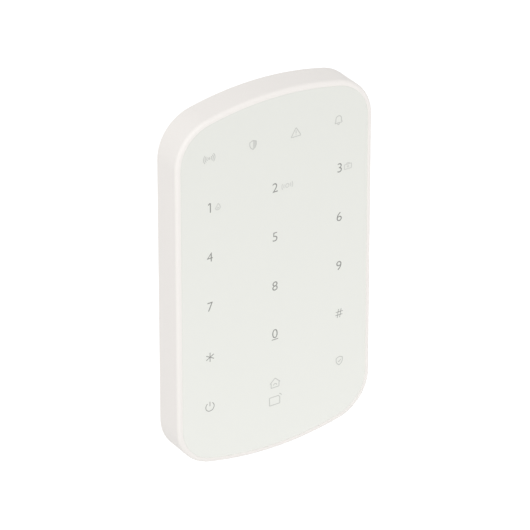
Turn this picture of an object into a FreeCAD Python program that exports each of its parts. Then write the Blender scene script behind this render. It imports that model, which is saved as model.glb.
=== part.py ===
import FreeCAD, Part
import math
import os

from FreeCAD import Vector

# Alarm keypad panel. Millimetres; X to the right, Z up, the front faces -Y.
# The origin is the centre of the bracket's back face, so the wall is the plane y = 0.

# outline of the case, seen from the front
panel_w = 97.5           # overall width
panel_h = 172.0          # overall height
end_bow_r = 142.6        # bow of the top and bottom ends
corner_r = 20.3          # corner radius

# depths, counted from the wall
bracket_t = 2.2          # bracket plate
bracket_stand = 6.0      # wall to the case's back edge
case_depth = 14.6        # depth of the case's side wall

# fits
slip_gap = 0.3           # between pieces that move past each other
seat_gap = 0.15          # between pieces that only locate each other
thread_gap = 0.07        # screw in its threaded bore, on the radius

# front
rim_w = 2.2              # rim round the panel
rim_round = 1.5          # round on the rim's outer edge
rim_facets = 4           # flat steps that the round is made of
panel_sink = 0.2         # panel face below the rim
panel_t = 1.5            # panel thickness
panel_gap = 0.06         # panel to the rim all round
panel_bevel = 0.12        # bevel on the panel's edge
tape_t = 0.3             # adhesive ring
ledge_w = 4.0            # ledge that the panel is stuck to
ledge_t = 1.4
film_t = 0.2             # diffuser film

# case walls
wall_t = 1.8
rib_w = 1.2              # ribs that the chassis rests on
rib_in = 1.4
side_rib_end = 36.0      # outermost side rib to the end of the case
side_ribs = 3
end_rib_x = 15.0

# keys, placed from the edges of the case
key_cols = 3
key_rows = 5
key_edge_x = 16.2        # outer column of keys to the side of the case
key_edge_low = 31.6      # lowest row to the bottom
key_edge_top = 45.6      # highest row to the top
key_well_w = 11.0        # light well behind a key
key_well_h = 7.0
status_count = 4
status_edge_x = 16.5
status_edge_top = 22.7
status_well_w = 6.4
card_edge_low = 23.5     # card symbol
card_well_w = 8.0
card_well_h = 4.6
mask_edge_x = 7.0
mask_edge_z = 15.0
led_w = 1.6
led_d = 0.8
led_t = 0.6

# board
board_t = 1.0
board_gap = 0.4          # board edge to the case ribs

# chassis: two catches at the top, two screws at the bottom
catch_edge_x = 26.0
catch_w = 8.0
catch_in = 1.5
catch_t = 1.0
tongue_t = 1.5
tongue_in = 4.0
screw_edge_x = 10.75
screw_edge_low = 18.0
boss_r = 2.8
boss_back = 3.0          # top of the boss below the case's back edge
lug_half_w = 4.8
screw_r = 1.1
screw_len = 6.4
screw_head_r = 2.4
screw_head_t = 1.6
screw_hole_r = 1.45
well_half_w = 4.2        # block round each screw's well
well_floor_t = 1.4
clamp_w = 3.0            # posts that press the board on the ledge
clamp_edge_x = 6.8

# chassis
flange_t = 1.4
box_edge_x = 15.75       # raised box in the middle of the chassis
box_edge_z = 38.0
box_corner_r = 6.0
box_wall_t = 1.4
box_skin_t = 1.2
box_gap = 0.4            # box to bracket plate

# cells
cell_r = 5.25
cell_len = 44.5
cell_nub_r = 1.9
cell_nub_len = 1.0
cell_pitch = 10.8
cell_count = 4
cell_side_gap = 0.35
trough_floor_t = 0.8
trough_wall_t = 1.2
trough_rib_w = 1.0
trough_rib_h = 2.0
trough_rib_end = 5.0     # ribs stop short of the contacts
clip_in = 1.3            # clips that keep the outer cells in
clip_t = 2.0
clip_len = 6.0
clip_z = 13.0
contact_t = 0.4          # contact plates
contact_w = 8.4
contact_h = 7.0
leaf_t = 0.3             # leaf springs at the flat ends of the cells
leaf_w = 5.0
leaf_gap = 3.2           # contact plate to cell
leaf_half_h = 3.0
leaf_crest_half_h = 0.9

# hooks
slide_travel = 5.0       # the case lifts this far to leave the bracket
hook_end = 18.0          # hook to the end of the raised box
hook_side_gap = 0.4
hook_stem = 2.5
hook_reach = 2.7
hook_lip_t = 1.2
hook_rest_gap = 0.1

# bracket
bracket_inset = 6.0
skirt_t = 1.6
skirt_gap = 0.3
wall_hole_r = 2.2
wall_hole_edge_x = 23.75
wall_hole_edge_z = 24.0
wall_pad_half_w = 6.0    # solid pad round each hole
pocket_t = 0.8           # shallow pockets in the side against the wall
pocket_edge = 4.0        # solid band round the bracket's edge
pocket_rib = 3.0
pocket_cols = 3
pocket_rows = 6

# lock screw at the bottom
tab_half_w = 6.0
tab_t = 2.0
tab_gap = 0.5
notch_gap = 1.0
lock_axis_in = 3.4       # screw axis in front of the case's back edge
lock_r = 1.45
lock_len = 8.0
lock_head_r = 2.75
lock_head_t = 1.9
lock_head_sink = 0.1     # head above the case's bottom
lock_head_bevel = 0.5
lock_socket_w = 2.0
lock_socket_t = 1.1
lock_tab_hole_r = 1.85
washer_r = 3.2
washer_t = 0.5
insert_r = 2.2           # hexagonal insert, half its width across flats
insert_len = 5.0
lock_boss_half = 4.2
lock_boss_len = 6.0

# tamper switch
tamper_edge_low = 24.0
tamper_body_w = 6.0
tamper_body_t = 2.0
tamper_button_w = 2.4
tamper_button_t = 0.4
plunger_r = 1.5
plunger_guide_gap = 0.08
plunger_stroke = 1.5
plunger_short = 0.05     # tip in front of the wall plane
plunger_collar_half_w = 2.7
plunger_collar_t = 0.8
plunger_collar_gap = 0.1
cage_half_w = 4.2        # square cage round the spring
cage_wall_t = 1.1
cage_end_gap = 0.5
spring_wire_r = 0.18
spring_coil_r = 2.15
spring_turns = 3.5

# power switch
power_x = -14.0
power_edge_low = 28.0
power_body_w = 9.0
power_body_h = 4.4
power_body_t = 3.6
power_travel = 2.0
knob_w = 4.0
knob_h = 3.0
knob_proud = 0.5
knob_plate_w = 5.6
knob_plate_h = 5.4
knob_plate_t = 0.8
knob_ridge = 0.35
knob_ridges = 3

# board parts
radio_w = 17.0
radio_h = 11.0
radio_t = 2.3
radio_edge_top = 22.0
radio_pcb_t = 0.8
radio_pcb_edge = 1.0
aerial_inset = 8.5       # bent-wire aerial along the top of the board
aerial_half_w = 24.0
aerial_wire = 0.8
aerial_lift = 4.0
mcu_w = 9.0
mcu_t = 1.2
mcu_x = -20.0
lead_out = 0.9
lead_w = 0.3
lead_t = 0.25
lead_pitch = 1.0
lead_count = 7           # on each side
touch_chip_w = 5.0
touch_chip_t = 0.9
touch_chip_edge_x = 11.75
touch_chip_z = 28.0
buzzer_w = 9.0
buzzer_t = 3.2
buzzer_x = 14.0
buzzer_edge_low = 29.0
loop_edge_x = 21.25      # card reader loop
loop_half_h = 16.5
loop_edge_low = 25.0
loop_turns = 4
loop_track_w = 0.5
loop_pitch = 0.95
loop_t = 0.15
loop_lead_w = 2.2
chip_w = 2.0
chip_h = 1.25
chip_t = 0.7
chip_row_top = 12.5      # small chips in rows, counted from the ends and sides of the case
chip_row_low = 48.0
chip_row_pitch = 9.0
chip_row_count = 5
chip_side_x = 12.0
chip_side_pitch = 19.0
chip_side_count = 3
header_w = 10.0          # battery connector on the board
header_h = 3.4
header_t = 4.4
header_gap = 5.0         # to the trough

# derived places and planes
half_w = 0.5 * panel_w
half_h = 0.5 * panel_h
key_pitch_x = (panel_w - 2 * key_edge_x) / (key_cols - 1)
key_pitch_z = (panel_h - key_edge_low - key_edge_top) / (key_rows - 1)
key_mid_z = 0.5 * (key_edge_low - key_edge_top)
status_z = half_h - status_edge_top
status_pitch = (panel_w - 2 * status_edge_x) / (status_count - 1)
card_z = card_edge_low - half_h
screw_x = half_w - screw_edge_x
screw_low_z = screw_edge_low - half_h
box_half_w = half_w - box_edge_x
box_half_h = half_h - box_edge_z
side_rib_pitch = (panel_h - 2 * side_rib_end) / (side_ribs - 1)
tamper_z = tamper_edge_low - half_h
power_z = power_edge_low - half_h
buzzer_z = buzzer_edge_low - half_h
loop_z = loop_edge_low - half_h
loop_half_w = half_w - loop_edge_x
radio_z = half_h - radio_edge_top
wall_hole_x = half_w - wall_hole_edge_x
wall_hole_z = half_h - wall_hole_edge_z
case_back_y = -bracket_stand
case_front_y = case_back_y - case_depth
panel_front_y = case_front_y + panel_sink
panel_back_y = panel_front_y + panel_t
ledge_front_y = panel_back_y + tape_t
ledge_back_y = ledge_front_y + ledge_t
board_back_y = ledge_back_y + board_t
box_back_y = -(bracket_t + box_gap)
flange_front_y = case_back_y - flange_t
boss_back_y = case_back_y - boss_back
screw_seat_y = boss_back_y + well_floor_t
trough_back_floor_y = box_back_y - 0.5 * seat_gap - 2 * cell_r
trough_front_y = trough_back_floor_y - trough_floor_t
cell_y = trough_back_floor_y + cell_r
trough_half_w = 0.5 * cell_pitch * (cell_count - 1) + cell_r + cell_side_gap
trough_half_l = 0.5 * (cell_len + leaf_gap) + contact_t
trough_side_x = trough_half_w + trough_wall_t
hook_space = box_half_w - box_wall_t - trough_side_x
hook_x = trough_side_x + 0.5 * hook_space
hook_w = hook_space - 2 * (slip_gap + hook_side_gap)
hook_z = box_half_h - hook_end
header_z = -(trough_half_l + trough_wall_t + header_gap + 0.5 * header_h)
hook_lip_back_y = box_back_y - box_skin_t - slip_gap
skirt_front_y = case_back_y + skirt_gap
case_low_z = -half_h
lock_y = case_back_y - lock_axis_in
lock_head_low_z = case_low_z + lock_head_sink
lock_head_top_z = lock_head_low_z + lock_head_t
tab_low_z = lock_head_top_z + washer_t
tab_top_z = tab_low_z + tab_t
lock_boss_low_z = tab_top_z + tab_gap
tab_front_y = lock_y - washer_r + slip_gap
notch_front_y = tab_front_y - slip_gap - seat_gap
notch_half_w = tab_half_w + notch_gap
plunger_foot_y = board_back_y + tamper_body_t + tamper_button_t
collar_back_y = flange_front_y - plunger_stroke - plunger_collar_gap
tamper_top_y = board_back_y + tamper_body_t
far = 2.0 * panel_h      # longer than anything, for cutting tools


def outline_wire(inset, y):
    """Closed outline of the case, moved inwards by inset."""
    side_x = half_w - inset
    end_z = half_h - inset
    bow = end_bow_r - inset
    turn = corner_r - inset
    turn_x = side_x - turn
    bow_z = end_z - bow
    turn_z = bow_z + math.sqrt((bow - turn) ** 2 - turn_x ** 2)
    reach = math.hypot(turn_x, turn_z - bow_z)
    meet_x = turn_x * bow / reach
    meet_z = bow_z + (turn_z - bow_z) * bow / reach
    lean = 0.5 * math.atan2(meet_z - turn_z, meet_x - turn_x)
    elbow_x = turn_x + turn * math.cos(lean)
    elbow_z = turn_z + turn * math.sin(lean)
    half_x = 0.5 * meet_x
    half_z = bow_z + math.sqrt(bow ** 2 - half_x ** 2)

    def at(x, z):
        return Vector(x, y, z)

    edges = [
        Part.makeLine(at(side_x, -turn_z), at(side_x, turn_z)),
        Part.Arc(at(side_x, turn_z), at(elbow_x, elbow_z), at(meet_x, meet_z)).toShape(),
        Part.Arc(at(meet_x, meet_z), at(half_x, half_z), at(0, end_z)).toShape(),
        Part.Arc(at(0, end_z), at(-half_x, half_z), at(-meet_x, meet_z)).toShape(),
        Part.Arc(at(-meet_x, meet_z), at(-elbow_x, elbow_z), at(-side_x, turn_z)).toShape(),
        Part.makeLine(at(-side_x, turn_z), at(-side_x, -turn_z)),
        Part.Arc(at(-side_x, -turn_z), at(-elbow_x, -elbow_z), at(-meet_x, -meet_z)).toShape(),
        Part.Arc(at(-meet_x, -meet_z), at(-half_x, -half_z), at(0, -end_z)).toShape(),
        Part.Arc(at(0, -end_z), at(half_x, -half_z), at(meet_x, -meet_z)).toShape(),
        Part.Arc(at(meet_x, -meet_z), at(elbow_x, -elbow_z), at(side_x, -turn_z)).toShape(),
    ]
    return Part.Wire(edges)


def slab(inset, y_from, y_to):
    """Prism of the outline between two depths."""
    return Part.Face(outline_wire(inset, y_from)).extrude(Vector(0, y_to - y_from, 0))


def rounded_slab(y_front, y_back, radius, facets):
    """Prism of the whole outline whose front edge is rounded in flat steps."""
    rings = []
    for i in range(facets + 1):
        turn = 0.5 * math.pi * i / facets
        rings.append(outline_wire(radius * (1 - math.cos(turn)), y_front + radius * (1 - math.sin(turn))))
    layers = [slab(0, y_front + radius, y_back)]
    for outer, inner in zip(rings, rings[1:]):
        layers.append(Part.makeLoft([outer, inner], True, True))
    return fuse_all(layers)


def block(x_from, x_to, y_from, y_to, z_from, z_to):
    corner = Vector(x_from, y_from, z_from)
    return Part.makeBox(x_to - x_from, y_to - y_from, z_to - z_from, corner)


def rod(x, z, radius, y_from, y_to):
    """Cylinder that runs front to back."""
    return Part.makeCylinder(radius, y_to - y_from, Vector(x, y_from, z), Vector(0, 1, 0))


def post(x, y, radius, z_from, z_to):
    """Cylinder that stands upright."""
    return Part.makeCylinder(radius, z_to - z_from, Vector(x, y, z_from), Vector(0, 0, 1))


def hex_bar(x, y, half_flats, z_from, z_to):
    """Upright six-sided bar."""
    reach = half_flats / math.cos(math.pi / 6)
    corners = []
    for i in range(7):
        turn = i * math.pi / 3
        corners.append(Vector(x + reach * math.cos(turn), y + reach * math.sin(turn), z_from))
    return Part.Face(Part.makePolygon(corners)).extrude(Vector(0, 0, z_to - z_from))


def soft_block(half_w, z_from, z_to, radius, y_from, y_to):
    """Plate with four rounded corners, centred on x = 0."""
    body = block(-half_w, half_w, y_from, y_to, z_from, z_to)
    edges = [e for e in body.Edges if abs(e.tangentAt(e.FirstParameter).y) > 0.9]
    return body.makeFillet(radius, edges)


def fuse_all(shapes):
    return shapes[0].multiFuse(shapes[1:]).removeSplitter()


def edges_at(shape, y):
    """Edges that lie in one depth plane."""
    slack = 1e-4
    return [e for e in shape.Edges
            if abs(e.BoundBox.YMin - y) < slack and abs(e.BoundBox.YMax - y) < slack]


def spaced(count, pitch):
    """Evenly spaced places about zero."""
    return [(i - 0.5 * (count - 1)) * pitch for i in range(count)]


def key_spots():
    return [(x, key_mid_z + z) for z in spaced(key_rows, key_pitch_z)
            for x in spaced(key_cols, key_pitch_x)]


def status_spots():
    return [(x, status_z) for x in spaced(status_count, status_pitch)]


def screw_spots():
    return [(side * screw_x, screw_low_z) for side in (-1, 1)]


def catch_spots():
    return [side * (half_w - catch_edge_x) for side in (-1, 1)]


def clamp_spots():
    """Posts half-way between key rows, near the sides."""
    x = half_w - clamp_edge_x
    return [(side * x, key_mid_z + row * key_pitch_z) for side in (-1, 1) for row in (-1.5, 0.5, 1.5)]


def hook_spots():
    return [(sx * hook_x, sz * hook_z) for sx in (-1, 1) for sz in (-1, 1)]


def wall_hole_spots():
    return [(sx * wall_hole_x, sz * wall_hole_z) for sx in (-1, 1) for sz in (-1, 1)]


def wound_wire(radius, length, turns, wire_r, steps_per_turn=10, sides=6):
    """Wire wound up the Z axis from z = 0 in short straight steps."""
    steps = int(round(turns * steps_per_turn))
    points = []
    for i in range(steps + 1):
        turn = 2 * math.pi * i / steps_per_turn
        height = wire_r + (length - 2 * wire_r) * i / steps
        points.append(Vector(radius * math.cos(turn), radius * math.sin(turn), height))
    spine = Part.makePolygon(points)
    along = (points[1] - points[0]).normalize()
    out = Vector(1, 0, 0)
    across = along.cross(out).normalize()
    out = across.cross(along)
    corners = []
    for i in range(sides + 1):
        turn = 2 * math.pi * i / sides
        corners.append(points[0] + out * (wire_r * math.cos(turn)) + across * (wire_r * math.sin(turn)))
    return spine.makePipeShell([Part.makePolygon(corners)], True, False, 1)


def front_housing():
    """Case ring: rounded rim, panel pocket, ledge with lugs, bosses and ribs."""
    body = rounded_slab(case_front_y, case_back_y, rim_round, rim_facets)
    body = body.cut(slab(rim_w, case_front_y, ledge_front_y)).cut(slab(wall_t, ledge_back_y, case_back_y))
    window = slab(rim_w + ledge_w, ledge_front_y, ledge_back_y)
    adds = []
    for x, z in screw_spots():
        side = math.copysign(1.0, x)
        inner = x - side * lug_half_w
        window = window.cut(block(min(inner, side * half_w), max(inner, side * half_w),
                                  ledge_front_y, ledge_back_y, z - lug_half_w, z + lug_half_w))
        adds.append(rod(x, z, boss_r, ledge_back_y, boss_back_y))
    body = body.cut(window)
    reach = wall_t + rib_in
    for z in spaced(side_ribs, side_rib_pitch):
        for x_from in (-0.5 * panel_w + wall_t, 0.5 * panel_w - reach):
            adds.append(block(x_from, x_from + rib_in, ledge_back_y, flange_front_y,
                              z - 0.5 * rib_w, z + 0.5 * rib_w))
    end_ribs = []
    for x in (-end_rib_x, end_rib_x):
        end_ribs.append(block(x - 0.5 * rib_w, x + 0.5 * rib_w, ledge_back_y, flange_front_y, -far, far))
    ring = slab(0.5 * wall_t, ledge_back_y, flange_front_y).cut(slab(reach, ledge_back_y, flange_front_y))
    adds.append(Part.makeCompound(end_ribs).common(ring))
    lip = slab(0.5 * wall_t, case_back_y - catch_t, case_back_y)
    lip = lip.cut(slab(wall_t + catch_in, case_back_y - catch_t, case_back_y))
    for x in catch_spots():
        reach = 0.5 * catch_w
        adds.append(lip.common(block(x - reach, x + reach, case_front_y, case_back_y, 0, far)))
    body = fuse_all([body] + adds)
    for x, z in screw_spots():
        body = body.cut(rod(x, z, screw_r + thread_gap, ledge_back_y, boss_back_y))
    notch = block(-notch_half_w, notch_half_w, notch_front_y, case_back_y,
                  case_low_z, case_low_z + 2 * wall_t)
    return body.cut(notch)


def glass_panel():
    body = slab(rim_w + panel_gap, panel_front_y, panel_back_y)
    return body.makeChamfer(panel_bevel, edges_at(body, panel_front_y))


def panel_tape():
    outer = slab(rim_w + slip_gap, panel_back_y, ledge_front_y)
    return outer.cut(slab(rim_w + ledge_w - slip_gap, panel_back_y, ledge_front_y))


def mask_blank(y_from, y_to):
    """Sheet behind the keys, with its corners trimmed to the housing's window."""
    wide = half_w - mask_edge_x
    tall = half_h - mask_edge_z
    sheet = block(-wide, wide, y_from, y_to, -tall, tall)
    return sheet.common(slab(rim_w + ledge_w + slip_gap, y_from, y_to))


def diffuser_film():
    return mask_blank(panel_back_y, panel_back_y + film_t)


def light_mask():
    """Plate with a well behind each symbol, notched round the housing's lugs."""
    front_y = panel_back_y + film_t
    body = mask_blank(front_y, ledge_back_y)
    for x, z in screw_spots():
        side = math.copysign(1.0, x)
        reach = lug_half_w + slip_gap
        inner = x - side * reach
        body = body.cut(block(min(inner, side * half_w), max(inner, side * half_w),
                              front_y, ledge_back_y, z - reach, z + reach))
    wells = [(x, z, key_well_w, key_well_h) for x, z in key_spots()]
    wells += [(x, z, status_well_w, status_well_w) for x, z in status_spots()]
    wells.append((0, card_z, card_well_w, card_well_h))
    cuts = []
    for x, z, wide, tall in wells:
        cuts.append(block(x - 0.5 * wide, x + 0.5 * wide, front_y, ledge_back_y,
                          z - 0.5 * tall, z + 0.5 * tall))
    return body.cut(Part.makeCompound(cuts))


def led(x, z):
    return block(x - 0.5 * led_w, x + 0.5 * led_w, ledge_back_y - led_t, ledge_back_y,
                 z - 0.5 * led_d, z + 0.5 * led_d)


def key_leds():
    return Part.makeCompound([led(x, z) for x, z in key_spots()])


def status_leds():
    return Part.makeCompound([led(x, z) for x, z in status_spots() + [(0, card_z)]])


def main_board():
    """Board with a notch at each side for the housing's screw bosses."""
    body = slab(wall_t + rib_in + board_gap, ledge_back_y, board_back_y)
    reach = boss_r + seat_gap
    for x, z in screw_spots():
        side = math.copysign(1.0, x)
        inner = x - side * reach
        body = body.cut(block(min(inner, side * half_w), max(inner, side * half_w),
                              ledge_back_y, board_back_y, z - reach, z + reach))
    return body


def rear_chassis():
    """Back plate: flange, raised box, open battery trough, screw wells, lock boss, guides."""
    flange = slab(wall_t + seat_gap, flange_front_y, case_back_y)
    box = soft_block(box_half_w, -box_half_h, box_half_h, box_corner_r, flange_front_y, box_back_y)
    inner_w = box_half_w - box_wall_t
    inner_h = box_half_h - box_wall_t
    hollow = soft_block(inner_w, -inner_h, inner_h, box_corner_r - box_wall_t,
                        flange_front_y, box_back_y - box_skin_t)
    tall = trough_half_l + trough_wall_t
    adds = [flange.fuse(box).cut(hollow)]
    tongue_back_y = case_back_y - catch_t - seat_gap
    tongue = slab(wall_t + seat_gap, tongue_back_y - tongue_t, tongue_back_y)
    tongue = tongue.cut(slab(wall_t + tongue_in, tongue_back_y - tongue_t, tongue_back_y))
    recess = slab(0, tongue_back_y, case_back_y)
    recess = recess.cut(slab(wall_t + catch_in + seat_gap, tongue_back_y, case_back_y))
    recesses = []
    for x in catch_spots():
        reach = 0.5 * catch_w + slip_gap
        slot = block(x - reach, x + reach, case_front_y, case_back_y, 0, far)
        adds.append(tongue.common(slot))
        recesses.append(recess.common(slot))
    adds.append(block(-trough_side_x, trough_side_x, trough_front_y, box_back_y, -tall, tall))
    for x, z in screw_spots():
        adds.append(block(x - well_half_w, x + well_half_w, boss_back_y, case_back_y,
                          z - well_half_w, z + well_half_w))
    adds.append(block(-cage_half_w, cage_half_w, tamper_top_y + cage_end_gap, case_back_y,
                      tamper_z - cage_half_w, tamper_z + cage_half_w))
    adds.append(block(-lock_boss_half, lock_boss_half, lock_y - lock_boss_half, case_back_y,
                      lock_boss_low_z, lock_boss_low_z + lock_boss_len))
    for x, z in clamp_spots():
        adds.append(block(x - 0.5 * clamp_w, x + 0.5 * clamp_w, board_back_y, case_back_y,
                          z - 0.5 * clamp_w, z + 0.5 * clamp_w))
    body = fuse_all(adds)
    cuts = recesses
    head_reach = screw_head_r + slip_gap
    cuts.append(block(-trough_half_w, trough_half_w, trough_back_floor_y, box_back_y,
                      -trough_half_l, trough_half_l))
    for x, z in screw_spots():
        cuts.append(rod(x, z, screw_hole_r, boss_back_y, screw_seat_y))
        cuts.append(block(x - head_reach, x + head_reach, screw_seat_y, case_back_y,
                          z - head_reach, z + head_reach))
    for x, z in hook_spots():
        cuts.append(block(x - 0.5 * hook_w - slip_gap, x + 0.5 * hook_w + slip_gap,
                          box_back_y - box_skin_t, box_back_y,
                          z - slide_travel - slip_gap, z + hook_stem + hook_rest_gap))
    inner = cage_half_w - cage_wall_t
    cuts.append(block(-inner, inner, tamper_top_y, flange_front_y, tamper_z - inner, tamper_z + inner))
    cuts.append(rod(0, tamper_z, plunger_r + plunger_guide_gap, flange_front_y, case_back_y))
    cuts.append(hex_bar(0, lock_y, insert_r, lock_boss_low_z, lock_boss_low_z + lock_boss_len))
    cuts.append(block(-notch_half_w, notch_half_w, -far, 0, case_low_z, lock_boss_low_z))
    reach_h = 0.5 * knob_h + slip_gap
    cuts.append(block(power_x - 0.5 * knob_w - power_travel - slip_gap, power_x + 0.5 * knob_w + slip_gap,
                      flange_front_y, case_back_y, power_z - reach_h, power_z + reach_h))
    body = body.cut(Part.makeCompound(cuts))
    keeps = []
    rib_end = trough_half_l - trough_rib_end
    for i in range(cell_count - 1):
        x = (i + 1 - 0.5 * cell_count) * cell_pitch
        keeps.append(block(x - 0.5 * trough_rib_w, x + 0.5 * trough_rib_w, trough_back_floor_y,
                           trough_back_floor_y + trough_rib_h, -rib_end, rib_end))
    for side in (-1, 1):
        for z in (-clip_z, clip_z):
            x_from = min(side * trough_half_w, side * (trough_half_w - clip_in))
            keeps.append(block(x_from, x_from + clip_in, box_back_y - clip_t, box_back_y,
                               z - 0.5 * clip_len, z + 0.5 * clip_len))
    return fuse_all([body] + keeps)


def chassis_screws():
    screws = []
    for x, z in screw_spots():
        shaft = rod(x, z, screw_r, screw_seat_y - screw_len, screw_seat_y)
        head = rod(x, z, screw_head_r, screw_seat_y, screw_seat_y + screw_head_t)
        screws.append(fuse_all([shaft, head]))
    return Part.makeCompound(screws)


def battery_cells():
    """Cells side by side, each one turned end for end from its neighbour."""
    cells = []
    half = 0.5 * cell_len
    for i, x in enumerate(spaced(cell_count, cell_pitch)):
        can = post(x, cell_y, cell_r, -half, half - cell_nub_len)
        cell = fuse_all([can, post(x, cell_y, cell_nub_r, half - cell_nub_len, half)])
        cell.translate(Vector(0, 0, 0.5 * leaf_gap))
        if i % 2 == 1:
            cell = cell.mirror(Vector(0, 0, 0), Vector(0, 0, 1))
        cells.append(cell)
    return Part.makeCompound(cells)


def battery_springs():
    """One bowed leaf at the flat end of each cell, folded from strip."""
    leaves = []
    low_z = contact_t - trough_half_l
    profile = ((leaf_half_h, 0.0), (leaf_crest_half_h, leaf_gap), (-leaf_crest_half_h, leaf_gap),
               (-leaf_half_h, 0.0), (leaf_t - leaf_half_h, 0.0), (-leaf_crest_half_h, leaf_gap - leaf_t),
               (leaf_crest_half_h, leaf_gap - leaf_t), (leaf_half_h - leaf_t, 0.0), (leaf_half_h, 0.0))
    for i, x in enumerate(spaced(cell_count, cell_pitch)):
        strip = Part.makePolygon([Vector(x, cell_y + y, low_z + z) for y, z in profile])
        leaf = Part.Face(strip).extrude(Vector(leaf_w, 0, 0))
        leaf.translate(Vector(-0.5 * leaf_w, 0, 0))
        if i % 2 == 1:
            leaf = leaf.mirror(Vector(0, 0, 0), Vector(0, 0, 1))
        leaves.append(leaf)
    return Part.makeCompound(leaves)


def battery_plates():
    """Contact plates: two bridges at one end, one bridge and two single plates at the other."""
    plates = []
    places = spaced(cell_count, cell_pitch)
    low_y = cell_y - 0.5 * contact_h
    high_y = cell_y + 0.5 * contact_h
    reach = 0.5 * contact_w
    low = [(places[0], places[1]), (places[2], places[3])]
    high = [(places[0], places[0]), (places[1], places[2]), (places[3], places[3])]
    for first, last in low:
        plates.append(block(first - reach, last + reach, low_y, high_y,
                            -trough_half_l, contact_t - trough_half_l))
    for first, last in high:
        plates.append(block(first - reach, last + reach, low_y, high_y,
                            trough_half_l - contact_t, trough_half_l))
    return Part.makeCompound(plates)


def bracket_pockets():
    """Shallow pockets that leave a grid of ribs, and a solid pad round each hole."""
    inset = bracket_inset + pocket_edge
    cell_w = (2 * (half_w - inset) - (pocket_cols - 1) * pocket_rib) / pocket_cols
    cell_h = (2 * (half_h - inset) - (pocket_rows - 1) * pocket_rib) / pocket_rows
    cells = []
    for x in spaced(pocket_cols, cell_w + pocket_rib):
        for z in spaced(pocket_rows, cell_h + pocket_rib):
            cells.append(block(x - 0.5 * cell_w, x + 0.5 * cell_w, -pocket_t, 0,
                               z - 0.5 * cell_h, z + 0.5 * cell_h))
    pads = []
    for x, z in wall_hole_spots() + [(0, tamper_z), (0, tamper_z + slide_travel)]:
        pads.append(block(x - wall_pad_half_w, x + wall_pad_half_w, -pocket_t, 0,
                          z - wall_pad_half_w, z + wall_pad_half_w))
    field = slab(inset, -pocket_t, 0)
    return Part.makeCompound(cells).common(field).cut(fuse_all(pads))


def wall_bracket():
    """Wall plate with a skirt, four hooks, the tamper slot and the lock tab."""
    plate = slab(bracket_inset, -bracket_t, 0)
    skirt = slab(bracket_inset, skirt_front_y, -bracket_t)
    skirt = skirt.cut(slab(bracket_inset + skirt_t, skirt_front_y, -bracket_t))
    adds = [plate, skirt]
    lip_front_y = hook_lip_back_y - hook_lip_t
    for x, z in hook_spots():
        half = 0.5 * hook_w
        adds.append(block(x - half, x + half, lip_front_y, -bracket_t, z, z + hook_stem))
        adds.append(block(x - half, x + half, lip_front_y, hook_lip_back_y, z, z + hook_stem + hook_reach))
    adds.append(block(-tab_half_w, tab_half_w, -bracket_t, 0, tab_low_z, tab_top_z + bracket_inset))
    adds.append(block(-tab_half_w, tab_half_w, tab_front_y, 0, tab_low_z, tab_top_z))
    inner = tab_half_w - skirt_t
    for x_from in (-tab_half_w, inner):
        adds.append(block(x_from, x_from + skirt_t, skirt_front_y, 0, tab_low_z, tab_top_z + bracket_inset))
    body = fuse_all(adds)
    cuts = [post(0, lock_y, lock_tab_hole_r, tab_low_z, tab_top_z), bracket_pockets()]
    for x, z in wall_hole_spots():
        cuts.append(rod(x, z, wall_hole_r, -bracket_t, 0))
    half = plunger_r + slip_gap
    cuts.append(rod(0, tamper_z, half, -bracket_t, 0))
    cuts.append(rod(0, tamper_z + slide_travel, half, -bracket_t, 0))
    cuts.append(block(-half, half, -bracket_t, 0, tamper_z, tamper_z + slide_travel))
    for cut in cuts:
        body = body.cut(cut)
    return body


def lock_screw():
    shaft = post(0, lock_y, lock_r, lock_head_top_z, lock_head_top_z + lock_len)
    head = post(0, lock_y, lock_head_r, lock_head_low_z, lock_head_top_z)
    rims = [e for e in head.Edges if e.BoundBox.ZMax < lock_head_top_z - lock_head_bevel]
    head = head.makeChamfer(lock_head_bevel, rims)
    socket = hex_bar(0, lock_y, 0.5 * lock_socket_w, lock_head_low_z, lock_head_low_z + lock_socket_t)
    return fuse_all([shaft, head]).cut(socket)


def lock_washer():
    ring = post(0, lock_y, washer_r, lock_head_top_z, tab_low_z)
    return ring.cut(post(0, lock_y, lock_r + thread_gap, lock_head_top_z, tab_low_z))


def lock_insert():
    low = lock_boss_low_z + 0.5 * (lock_boss_len - insert_len)
    nut = hex_bar(0, lock_y, insert_r, low, low + insert_len)
    return nut.cut(post(0, lock_y, lock_r + thread_gap, low, low + insert_len))


def tamper_switch():
    half = 0.5 * tamper_body_w
    body = block(-half, half, board_back_y, tamper_top_y, tamper_z - half, tamper_z + half)
    reach = 0.5 * tamper_button_w
    button = block(-reach, reach, board_back_y, plunger_foot_y, tamper_z - reach, tamper_z + reach)
    return fuse_all([body, button])


def tamper_plunger():
    """Pin with a square collar that the spring pushes on."""
    tip_y = -plunger_short
    half = plunger_collar_half_w
    pin = rod(0, tamper_z, plunger_r, plunger_foot_y, tip_y)
    collar = block(-half, half, collar_back_y - plunger_collar_t, collar_back_y,
                   tamper_z - half, tamper_z + half)
    return fuse_all([pin, collar])


def tamper_spring():
    length = collar_back_y - plunger_collar_t - tamper_top_y
    coil = wound_wire(spring_coil_r, length, spring_turns, spring_wire_r)
    coil.rotate(Vector(0, 0, 0), Vector(1, 0, 0), -90)
    coil.translate(Vector(0, tamper_top_y, tamper_z))
    return coil


def power_switch_body():
    top_y = board_back_y + power_body_t
    mid_x = power_x - 0.5 * power_travel
    body = block(mid_x - 0.5 * power_body_w, mid_x + 0.5 * power_body_w, board_back_y, top_y,
                 power_z - 0.5 * power_body_h, power_z + 0.5 * power_body_h)
    return body


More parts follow.
